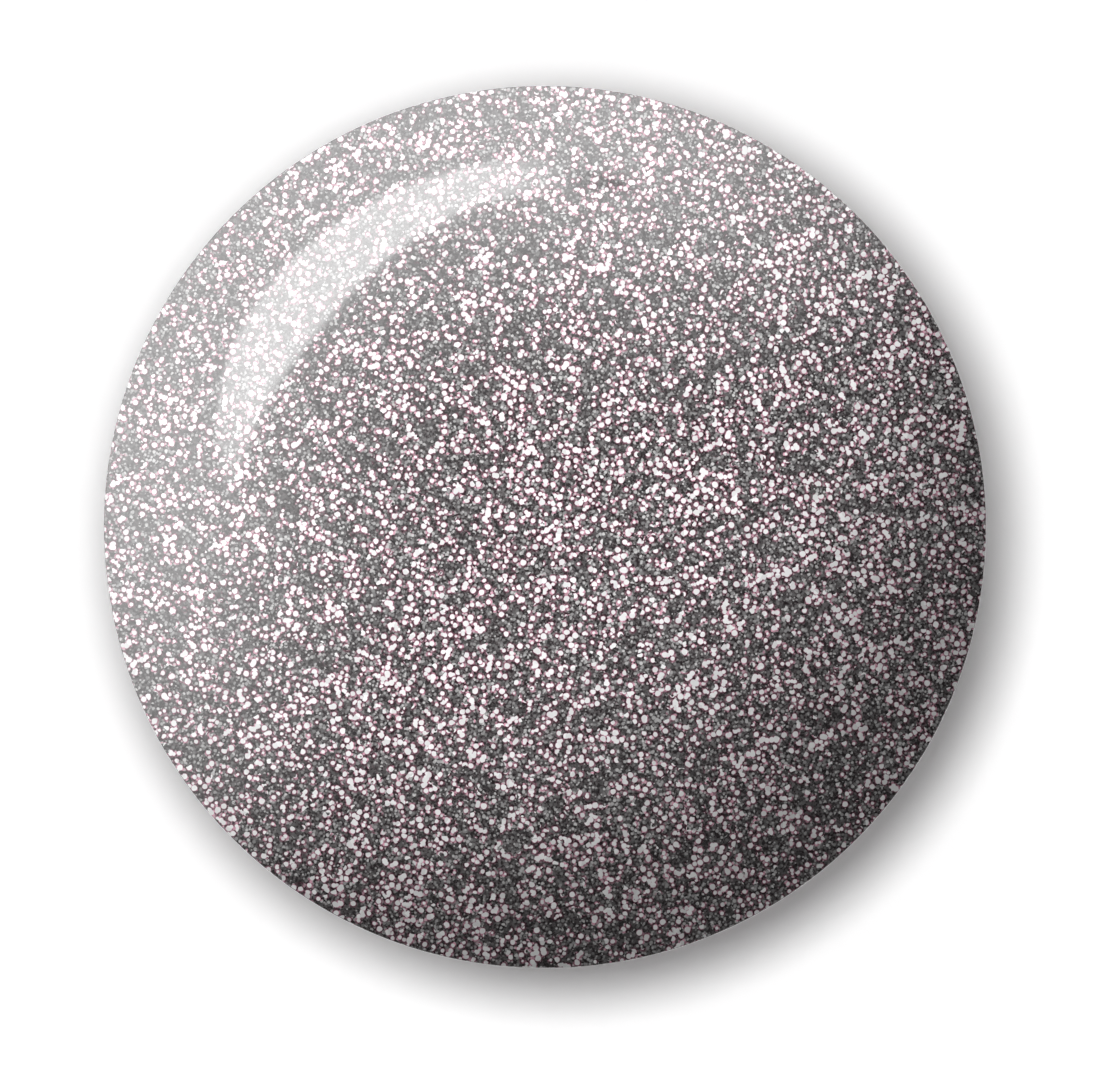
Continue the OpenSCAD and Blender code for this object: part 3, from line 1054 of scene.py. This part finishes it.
@dataclass
class Bottle:
    """The glass bottle with its polish, balls and label. Sizes in mm."""

    nodes: dict[str, bpy.types.Object]
    cavity_r: float = 12.8
    track_r: float = 3.6
    base_t: float = 5.0
    kick_h: float = 1.4
    ceiling_z: float = 28.6
    shoulder_r: float = 4.0
    fill_z: float = 27.6
    meniscus: float = 0.5
    meniscus_w: float = 2.2
    floor_steps: int = 16
    surface_steps: int = 8
    overlap: float = 0.03
    label_r: float = 9.5
    label_z: Point = (0.65, 0.8)
    label_edge: float = 0.05

    def build(self) -> None:
        """Models the glass, the polish and the label, and dresses them."""
        glass = Bench.copy_of(self.nodes["glass_bottle"], "glass_body")
        Bench.fit(glass, Body.BOTTLE, "glass_bottle", Slot.GLASS, BottleGlass())
        self.build_polish()
        self.build_label()
        steel = Moulded("polished_steel", (0.60, 0.61, 0.63), (0.74, 0.75, 0.77),
                        smooth=0.10, rough=0.2, metallic=1.0, depth=0.003)
        for body in (Body.BALL_1, Body.BALL_2):
            ball = Bench.copy_of(self.nodes["mixing_" + body.value], "steel_" + body.value)
            Bench.fit(ball, body, "mixing_" + body.value, Slot.STEEL, steel)

    def build_polish(self) -> None:
        """Models the polish against the glass, with a meniscus where its surface meets the wall."""
        track = self.cavity_r - self.track_r
        grow = self.overlap
        floor = [(track * t, self.base_t - grow + self.kick_h * (1.0 + math.cos(math.pi * t)) / 2)
                 for t in (i / self.floor_steps for i in range(self.floor_steps + 1))]
        corner = arc((track, self.base_t + self.track_r), self.track_r + grow, -90.0, 0.0, steps=14)
        centre = (self.cavity_r - self.shoulder_r, self.ceiling_z - self.shoulder_r)
        brim = self.fill_z + self.meniscus
        stop = math.degrees(math.asin((brim - centre[1]) / (self.shoulder_r + grow)))
        shoulder = arc(centre, self.shoulder_r + grow, 0.0, stop, steps=14)
        edge_r = shoulder[-1][0]
        surface = [(edge_r - self.meniscus_w * t, self.fill_z + self.meniscus * (1.0 - t) ** 3)
                   for t in (i / self.surface_steps for i in range(1, self.surface_steps + 1))]
        outline = floor + corner[1:] + shoulder + surface + [(0.0, self.fill_z)]
        polish = Bench.turn("polish", outline, crease=50.0)
        liquid = GlitterCoat("liquid_glitter", roughness=0.28, coat_ior=1.5)
        Bench.fit(polish, Body.BOTTLE, "lacquer", Slot.LACQUER, liquid)

    def build_label(self) -> None:
        """Models the blank label with a softly worn edge."""
        low, high = self.label_z
        edge = self.label_edge
        outline = [(0.0, high), (self.label_r, high), (self.label_r, low + edge),
                   (self.label_r - edge, low), (0.0, low)]
        label = Bench.turn("blank_label", outline, steps=128, crease=60.0)
        paper = Moulded("label_paper", (0.74, 0.73, 0.72), (0.84, 0.83, 0.82),
                        smooth=0.6, rough=0.75, depth=0.02)
        Bench.fit(label, Body.BOTTLE, "base_label", Slot.LABEL, paper)


@dataclass
class Studio:
    """Floor, lamps, world and camera of the picture. Sizes in mm, angles in degrees."""

    rim_z: float = 55.316
    dome_span: float = 30.0
    dome_pixels: float = 882.0
    offset_pixels: Point = (-9.5, 16.0)
    lens: float = 500.0
    sensor: float = 36.0
    camera_reach: float = 20000.0
    key_azimuth: float = 126.0
    key_elevation: float = 38.0
    key_level: float = 0.22
    key_angle: float = 16.0
    top_level: float = 1.12
    top_height: float = 900.0
    top_cone: float = 16.0
    top_lamp_r: float = 2.0
    top_azimuth: float = 128.0
    top_shade: float = 0.38
    top_fade: Point = (-12.6, -3.2)
    top_bend: float = 0.022
    scrim_edges: tuple[Point, Point] = ((10.2, 11.0), (12.9, 12.1))
    scrim_ends: Point = (0.80, 0.93)
    scrim_shade: float = 0.35
    behind_glass: tuple[str, ...] = ("polish", "blank_label")
    fill_level: float = 0.008
    sheen_azimuth: float = 130.0
    sheen_level: float = 2.08
    wall_span: Point = (-0.28, 0.86)
    wall_rise: Point = (1.04, 0.35)
    strip_level: float = 4.05
    strip_far: float = 600.0
    strip_ends: tuple[Point, Point] = ((70.0, 104.0), (196.0, 150.0))
    shadow_azimuth: float = 135.0
    shadow_height: float = 400.0
    shadow_offset: float = 6.8
    shadow_lamp_r: float = 9.0
    floor_span: float = 4000.0
    floor_albedo: float = 0.95
    floor_own_light: float = 0.16
    floor_lamp_light: float = 0.73
    floor_bounce: float = 1.05
    glow_span: Point = (17.0, 70.0)
    bounce_span: Point = (50.0, 75.0)
    stage: list[bpy.types.Object] = field(default_factory=list)

    def build(self) -> None:
        """Sets up everything that is not part of the bottle."""
        bpy.context.scene.view_settings.view_transform = "Standard"
        floor = self.build_floor()
        self.build_key(floor)
        self.build_top_lamp(floor)
        self.build_shadow_lamp(floor)
        self.build_strip()
        self.build_world()
        self.build_camera()
        LOG.info("studio: %d stage pieces", len(self.stage))

    def build_floor(self) -> bpy.types.Object:
        """Makes the white floor, which glows for the camera away from the bottle.

        Returns:
            The floor.
        """
        bpy.ops.object.select_all(action="DESELECT")
        bpy.ops.mesh.primitive_plane_add(size=self.floor_span * MM, location=(0.0, 0.0, 0.0))
        floor = bpy.context.active_object
        floor.name = "floor"
        paint, graph = new_material("floor_white")
        matt = graph.add("ShaderNodeBsdfDiffuse", {"Color": rgba((self.floor_albedo,) * 3)})
        away = graph.vector("LENGTH", graph.millimetres())
        glow = graph.span(away, *self.glow_span, self.floor_own_light, 1.0)
        bounce = graph.span(away, *self.bounce_span, self.floor_bounce, 0.0, smooth=True)
        seen = graph.add("ShaderNodeLightPath").outputs["Is Camera Ray"]
        light = graph.add("ShaderNodeEmission", {"Strength": graph.mix(seen, bounce, glow)})
        both = graph.add("ShaderNodeAddShader", {0: matt.outputs[0], 1: light.outputs[0]})
        output = graph.add("ShaderNodeOutputMaterial")
        graph.feed(output.inputs["Surface"], both.outputs[0])
        floor.data.materials.append(paint)
        self.stage.append(floor)
        return floor

    def add_lamp(self, name: str, kind: str, energy: float) -> bpy.types.Object:
        """Adds a lamp.

        Args:
            name: the lamp's name.
            kind: Blender's type of lamp.
            energy: its power.

        Returns:
            The lamp object.
        """
        data = bpy.data.lights.new(name, kind)
        data.energy = energy
        lamp = bpy.data.objects.new(name, data)
        bpy.context.scene.collection.objects.link(lamp)
        return lamp

    def link_lamp(self, lamp: bpy.types.Object, pieces: list[bpy.types.Object], how: Linking) -> None:
        """Keeps a lamp off some pieces, or for them alone.

        Args:
            lamp: the lamp.
            pieces: the pieces.
            how: whether it lights only these pieces, or never these.
        """
        group = bpy.data.collections.new(lamp.name + "_pieces")
        lamp.light_linking.receiver_collection = group
        for piece in pieces:
            group.objects.link(piece)
        for held in group.collection_objects:
            held.light_linking.link_state = how.value

    def build_key(self, floor: bpy.types.Object) -> None:
        """Makes the soft key light from the upper left.

        Args:
            floor: the floor, which it leaves unlit.
        """
        height = math.radians(self.key_elevation)
        lamp = self.add_lamp("key", "SUN", self.key_level * math.pi / math.sin(height))
        lamp.data.angle = math.radians(self.key_angle)
        lamp.rotation_euler = (0.0, math.pi / 2 - height, math.radians(self.key_azimuth))
        lamp.visible_glossy = False
        unlit = [floor] + [bpy.data.objects[name] for name in self.behind_glass]
        self.link_lamp(lamp, unlit, Linking.NEVER)

    def build_top_lamp(self, floor: bpy.types.Object) -> None:
        """Makes the lamp overhead.

        A bent flag lets it fade towards the lower right. A scrim dims it where the dome mirrors the strip.

        Args:
            floor: the floor, which it leaves unlit.
        """
        far = self.top_height * MM
        lamp = self.add_lamp("top_lamp", "SPOT", self.top_level * (2.0 * math.pi * far) ** 2)
        lamp.data.spot_size = math.radians(self.top_cone)
        lamp.data.shadow_soft_size = self.top_lamp_r * MM
        lamp.location = (0.0, 0.0, self.rim_z * MM + far)
        lamp.rotation_euler = (0.0, 0.0, math.radians(self.top_azimuth))
        lamp.visible_glossy = False
        lamp.data.use_nodes = True
        graph = Graph(lamp.data.node_tree)
        beam = graph.add("ShaderNodeTexCoord").outputs["Normal"]
        spot = graph.vector("MULTIPLY", beam, (self.top_height, self.top_height, 0.0))
        toward, across, _ = graph.axes(spot)
        away = graph.vector("LENGTH", spot)
        inner, outer = [graph.span(away, *edge, smooth=True) for edge in self.scrim_edges]
        turned = graph.span(graph.math("DIVIDE", toward, away), *self.scrim_ends, smooth=True)
        covered = graph.math("MULTIPLY", graph.math("MULTIPLY", inner, outer), turned)
        scrim = graph.span(covered, 0.0, 1.0, 1.0, self.scrim_shade)
        bent = graph.scaled(graph.math("MULTIPLY", across, across), -self.top_bend, toward)
        flag = graph.span(bent, *self.top_fade, self.top_shade, 1.0, smooth=True)
        emission = lamp.data.node_tree.nodes["Emission"]
        graph.feed(emission.inputs["Strength"], graph.math("MULTIPLY", flag, scrim))
        self.link_lamp(lamp, [floor], Linking.NEVER)

    def build_shadow_lamp(self, floor: bpy.types.Object) -> None:
        """Makes the lamp near the camera's axis that casts the tight shadow on the floor.

        Args:
            floor: the floor, the only piece that it lights.
        """
        reach = (self.shadow_height + self.rim_z) * MM
        level = self.floor_lamp_light / self.floor_albedo
        lamp = self.add_lamp("shadow_lamp", "AREA", level * math.pi ** 2 * reach ** 2)
        lamp.data.shape = "DISK"
        lamp.data.size = 2.0 * self.shadow_lamp_r * MM
        side = math.radians(self.shadow_azimuth)
        offset = self.shadow_offset * MM
        lamp.location = (offset * math.cos(side), offset * math.sin(side), reach)
        self.link_lamp(lamp, [floor], Linking.ONLY)

    def strip_edges(self, azimuth: float) -> Point:
        """Lower and upper edge of the softbox strip.

        Args:
            azimuth: direction from the bottle, in degrees.

        Returns:
            The two elevations in degrees.
        """
        spans = zip(STRIP_EDGES, STRIP_EDGES[1:])
        first, last = next(pair for pair in spans if azimuth <= pair[1][0])
        share = (azimuth - first[0]) / (last[0] - first[0])
        low, high = (a + (b - a) * share for a, b in zip(first[1:], last[1:]))
        return low, high

    def build_strip(self) -> None:
        """Makes the curved softbox that the dome mirrors as a crescent."""
        bpy.ops.object.select_all(action="DESELECT")
        bpy.ops.mesh.primitive_grid_add(x_subdivisions=64, y_subdivisions=8, size=2.0)
        strip = bpy.context.active_object
        strip.name = "softbox_strip"
        first, last = STRIP_EDGES[0][0], STRIP_EDGES[-1][0]
        far = self.strip_far * MM
        for point in strip.data.vertices:
            azimuth = (first + last) / 2 + point.co.x * (last - first) / 2
            low, high = self.strip_edges(azimuth)
            around = math.radians(azimuth)
            up = math.radians((low + high) / 2 + point.co.y * (high - low) / 2)
            point.co = (far * math.cos(up) * math.cos(around), far * math.cos(up) * math.sin(around),
                        far * math.sin(up) + self.rim_z * MM)
        paint, graph = new_material("softbox_glow")
        x, y, _ = graph.axes(graph.millimetres())
        place = graph.math("DEGREES", graph.math("ARCTAN2", y, x))
        start, end = [graph.span(place, *fade, smooth=True) for fade in self.strip_ends]
        level = graph.math("MULTIPLY", graph.math("MULTIPLY", start, end), self.strip_level)
        light = graph.add("ShaderNodeEmission", {"Strength": level})
        output = graph.add("ShaderNodeOutputMaterial")
        graph.feed(output.inputs["Surface"], light.outputs[0])
        strip.data.materials.append(paint)
        for ray in ("camera", "diffuse", "transmission", "shadow", "volume_scatter"):
            setattr(strip, "visible_" + ray, False)
        self.stage.append(strip)

    def build_world(self) -> None:
        """Makes the world: white to the eye, a lit wall at the upper left to gloss, and a little fill."""
        world = bpy.data.worlds.new("studio_world")
        bpy.context.scene.world = world
        world.use_nodes = True
        world.node_tree.nodes.clear()
        graph = Graph(world.node_tree)
        ray = graph.add("ShaderNodeTexCoord").outputs["Generated"]
        flat = graph.vector("NORMALIZE", graph.vector("MULTIPLY", ray, (1.0, 1.0, 0.0)))
        side = math.radians(self.sheen_azimuth)
        toward = graph.vector("DOT_PRODUCT", flat, (math.cos(side), math.sin(side), 0.0))
        across = graph.span(toward, *self.wall_span, smooth=True)
        up = graph.span(graph.axes(ray)[2], *self.wall_rise, smooth=True)
        gloss = graph.scaled(graph.math("MULTIPLY", across, up), self.sheen_level, self.fill_level)
        path = graph.add("ShaderNodeLightPath").outputs
        light = graph.mix(path["Is Glossy Ray"], self.fill_level, gloss)
        seen = graph.math("ADD", path["Is Camera Ray"], path["Is Transmission Ray"], clamp=True)
        level = graph.mix(seen, light, 1.0)
        sky = graph.add("ShaderNodeBackground", {"Color": rgba(WHITE), "Strength": level})
        output = graph.add("ShaderNodeOutputWorld")
        graph.feed(output.inputs["Surface"], sky.outputs[0])

    def build_camera(self) -> None:
        """Makes the camera, which looks straight down with the photograph's framing."""
        data = bpy.data.cameras.new("camera")
        camera = bpy.data.objects.new("camera", data)
        bpy.context.scene.collection.objects.link(camera)
        bpy.context.scene.camera = camera
        data.lens = self.lens
        data.sensor_width = self.sensor
        frame_width = self.dome_span * IMAGE_WIDTH / self.dome_pixels
        camera.location = (0.0, 0.0, (self.rim_z + frame_width * self.lens / self.sensor) * MM)
        data.shift_x = -self.offset_pixels[0] / IMAGE_WIDTH
        data.shift_y = -self.offset_pixels[1] / IMAGE_WIDTH
        data.clip_end = self.camera_reach * MM


def main() -> None:
    """Builds the sub-assemblies in order, then the studio."""
    logging.basicConfig(level=logging.INFO, format="%(name)s: %(message)s")
    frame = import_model()
    nodes = frame["nodes"]
    for assembly in (Bottle(nodes), Brush(nodes), Closure(nodes), Overcap(nodes)):
        assembly.build()
    Studio().build()


if __name__ == "__main__":
    main()
